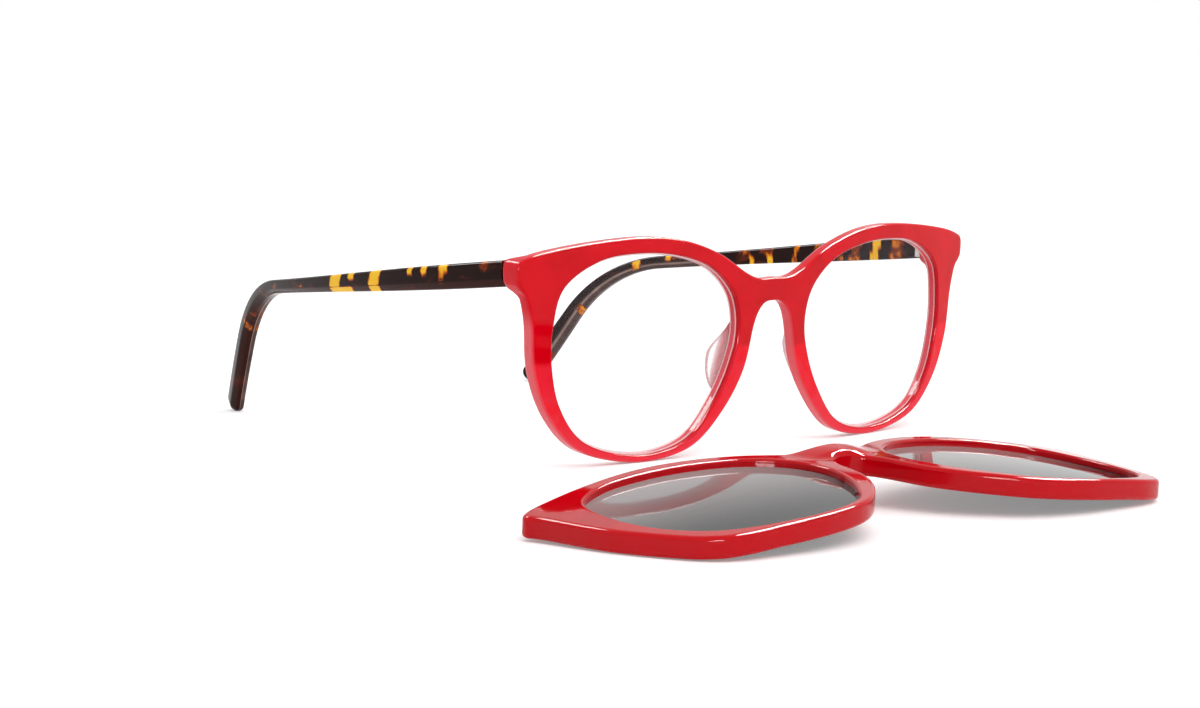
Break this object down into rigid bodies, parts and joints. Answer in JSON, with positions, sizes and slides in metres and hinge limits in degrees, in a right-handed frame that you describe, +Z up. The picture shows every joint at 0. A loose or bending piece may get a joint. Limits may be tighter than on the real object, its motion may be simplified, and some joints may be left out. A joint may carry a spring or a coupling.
{
  "type": "eyeglasses with clip-on sunglasses",
  "caption": "Full-rim eyeglasses with folding temples, with a matching magnetic clip-on sunglass front lying before them.",
  "frame": {"origin": "On the ground, below the middle of the set's overall box.", "axes": "+X to the wearer's left side as seen from the front (the viewer's right), +Y from the clip-on and the glasses' front back to the temple tips, +Z up. The glasses stand open on their rims and temple tips."},
  "size_m": [0.1932, 0.2476, 0.0491],
  "materials": {
    "front_acetate": "polished acetate, opaque crimson above and clearer rose red below",
    "clear_lens": "clear polished plastic",
    "nose_pad_acetate": "clear polished acetate with a pink cast",
    "hinge_metal": "satin nickel silver",
    "screw_metal": "bright steel",
    "magnet": "nickel-plated magnet",
    "core_wire": "drawn wire",
    "temple_acetate": "polished tortoiseshell acetate, dark brown with amber patches",
    "clip_acetate": "polished deep red acetate",
    "clip_lens": "grey gradient tint, polished"
  },
  "bodies": {
    "front": {"front_frame": "front_acetate", "lens_left": "clear_lens", "lens_right": "clear_lens", "nose_pad_left": "nose_pad_acetate", "nose_pad_right": "nose_pad_acetate", "front_hinge_left": "hinge_metal", "front_hinge_right": "hinge_metal", "hinge_screw_left": "screw_metal", "hinge_screw_right": "screw_metal", "front_magnet_left": "magnet", "front_magnet_right": "magnet"},
    "temple_left": {"temple_left": "temple_acetate", "temple_hinge_left": "hinge_metal", "temple_core_left": "core_wire"},
    "temple_right": {"temple_right": "temple_acetate", "temple_hinge_right": "hinge_metal", "temple_core_right": "core_wire"},
    "clip": {"clip_frame": "clip_acetate", "clip_lens_left": "clip_lens", "clip_lens_right": "clip_lens", "clip_magnet_left": "magnet", "clip_magnet_right": "magnet"}
  },
  "joints": [
    {"name": "temple_left_hinge", "type": "hinge", "parent": "front", "child": "temple_left", "pos_m": [-0.0389, -0.00401, 0.04199], "axis": [0, 0, -1], "range_deg": [0, 80]},
    {"name": "temple_right_hinge", "type": "hinge", "parent": "front", "child": "temple_right", "pos_m": [0.0889, -0.00401, 0.04199], "axis": [0, 0, 1], "range_deg": [0, 70]},
    {"name": "clip_lift", "type": "slide", "parent": "front", "child": "clip", "axis": [0, 0, 1], "range_m": [0, 0.1]}
  ]
}
